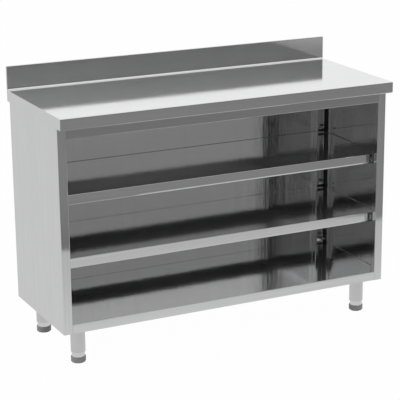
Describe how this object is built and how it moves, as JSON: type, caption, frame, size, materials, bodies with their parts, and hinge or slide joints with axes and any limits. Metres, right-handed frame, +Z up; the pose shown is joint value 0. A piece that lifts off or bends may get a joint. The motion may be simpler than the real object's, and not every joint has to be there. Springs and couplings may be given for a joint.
{
  "type": "back counter cabinet",
  "caption": "Open stainless steel counter with a coved upstand, lift-out shelves on corner racks, a fixed bottom shelf and round legs with screw feet.",
  "frame": {"origin": "middle of the footprint, on the floor, with the feet screwed home", "axes": "X along the front, Y from the front to the back, Z up"},
  "size_m": [1.5, 0.6, 1.145],
  "materials": {
    "worktop_steel": "fine brushed",
    "steel_sheet": "fine brushed",
    "steel_plate": "plain",
    "leg_steel": "satin",
    "sleeve_steel": "satin",
    "board": "plain",
    "rack_plastic": "matt",
    "foot_plastic": "matt"
  },
  "bodies": {
    "carcass": {"worktop": "worktop_steel", "worktop_board": "board", "side_left": "steel_sheet", "side_right": "steel_sheet", "back_panel": "steel_sheet", "top_rail": "steel_sheet", "bottom_shelf": "steel_sheet", "beam_front": "steel_sheet", "beam_rear": "steel_sheet", "rack_front_left": "steel_sheet", "rack_front_right": "steel_sheet", "rack_rear_left": "steel_sheet", "rack_rear_right": "steel_sheet", "strip_front_left": "rack_plastic", "strip_front_right": "rack_plastic", "strip_rear_left": "rack_plastic", "strip_rear_right": "rack_plastic", "clip_upper_front_left": "rack_plastic", "clip_upper_front_right": "rack_plastic", "clip_upper_rear_left": "rack_plastic", "clip_upper_rear_right": "rack_plastic", "clip_middle_front_left": "rack_plastic", "clip_middle_front_right": "rack_plastic", "clip_middle_rear_left": "rack_plastic", "clip_middle_rear_right": "rack_plastic", "leg_plate_front_left": "steel_plate", "leg_plate_front_right": "steel_plate", "leg_plate_rear_left": "steel_plate", "leg_plate_rear_right": "steel_plate", "leg_screws_front_left": "steel_plate", "leg_screws_front_right": "steel_plate", "leg_screws_rear_left": "steel_plate", "leg_screws_rear_right": "steel_plate", "leg_tube_front_left": "leg_steel", "leg_tube_front_right": "leg_steel", "leg_tube_rear_left": "leg_steel", "leg_tube_rear_right": "leg_steel", "leg_insert_front_left": "steel_plate", "leg_insert_front_right": "steel_plate", "leg_insert_rear_left": "steel_plate", "leg_insert_rear_right": "steel_plate"},
    "upper_shelf": {"shelf_upper": "steel_sheet"},
    "middle_shelf": {"shelf_middle": "steel_sheet"},
    "spindle_front_left": {"foot_spindle_front_left": "sleeve_steel"},
    "pad_front_left": {"foot_pad_front_left": "foot_plastic"},
    "spindle_front_right": {"foot_spindle_front_right": "sleeve_steel"},
    "pad_front_right": {"foot_pad_front_right": "foot_plastic"},
    "spindle_rear_left": {"foot_spindle_rear_left": "sleeve_steel"},
    "pad_rear_left": {"foot_pad_rear_left": "foot_plastic"},
    "spindle_rear_right": {"foot_spindle_rear_right": "sleeve_steel"},
    "pad_rear_right": {"foot_pad_rear_right": "foot_plastic"}
  },
  "joints": [
    {"name": "upper_shelf_lift", "type": "slide", "parent": "carcass", "child": "upper_shelf", "axis": [0, 0, 1], "range_m": [0, 0.15]},
    {"name": "middle_shelf_lift", "type": "slide", "parent": "carcass", "child": "middle_shelf", "axis": [0, 0, 1], "range_m": [0, 0.15]},
    {"name": "foot_out_front_left", "type": "slide", "parent": "carcass", "child": "spindle_front_left", "axis": [0, 0, -1], "range_m": [0, 0.03]},
    {"name": "foot_turn_front_left", "type": "hinge", "parent": "spindle_front_left", "child": "pad_front_left", "pos_m": [-0.662, -0.181, 0], "axis": [0, 0, -1], "range_deg": [0, 5400]},
    {"name": "foot_out_front_right", "type": "slide", "parent": "carcass", "child": "spindle_front_right", "axis": [0, 0, -1], "range_m": [0, 0.03]},
    {"name": "foot_turn_front_right", "type": "hinge", "parent": "spindle_front_right", "child": "pad_front_right", "pos_m": [0.662, -0.181, 0], "axis": [0, 0, -1], "range_deg": [0, 5400]},
    {"name": "foot_out_rear_left", "type": "slide", "parent": "carcass", "child": "spindle_rear_left", "axis": [0, 0, -1], "range_m": [0, 0.03]},
    {"name": "foot_turn_rear_left", "type": "hinge", "parent": "spindle_rear_left", "child": "pad_rear_left", "pos_m": [-0.662, 0.214, 0], "axis": [0, 0, -1], "range_deg": [0, 5400]},
    {"name": "foot_out_rear_right", "type": "slide", "parent": "carcass", "child": "spindle_rear_right", "axis": [0, 0, -1], "range_m": [0, 0.03]},
    {"name": "foot_turn_rear_right", "type": "hinge", "parent": "spindle_rear_right", "child": "pad_rear_right", "pos_m": [0.662, 0.214, 0], "axis": [0, 0, -1], "range_deg": [0, 5400]}
  ],
  "couplings": [
    {"joint": "foot_turn_front_left", "follows": "foot_out_front_left", "rad_per_m": 3141.6},
    {"joint": "foot_turn_front_right", "follows": "foot_out_front_right", "rad_per_m": 3141.6},
    {"joint": "foot_turn_rear_left", "follows": "foot_out_rear_left", "rad_per_m": 3141.6},
    {"joint": "foot_turn_rear_right", "follows": "foot_out_rear_right", "rad_per_m": 3141.6}
  ]
}
